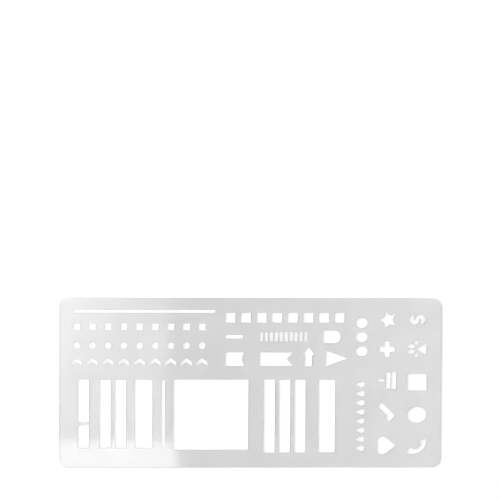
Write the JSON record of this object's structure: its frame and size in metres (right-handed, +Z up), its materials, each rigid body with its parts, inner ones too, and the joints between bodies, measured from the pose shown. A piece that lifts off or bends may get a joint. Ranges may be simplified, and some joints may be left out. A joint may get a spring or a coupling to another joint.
{
  "type": "planner stencil",
  "caption": "Flat clear plastic stencil with cut-out boxes, dots, flags, bars and small signs that a pen traces onto a planner page.",
  "frame": {"origin": "middle of the underside", "axes": "+X along the length, +Y to the upper long edge, +Z up through the sheet"},
  "size_m": [0.18, 0.08, 0.0008],
  "materials": {
    "clear_plastic": "clear and glossy, faintly grey"
  },
  "bodies": {
    "root": {"stencil_plate": "clear_plastic"}
  },
  "joints": []
}
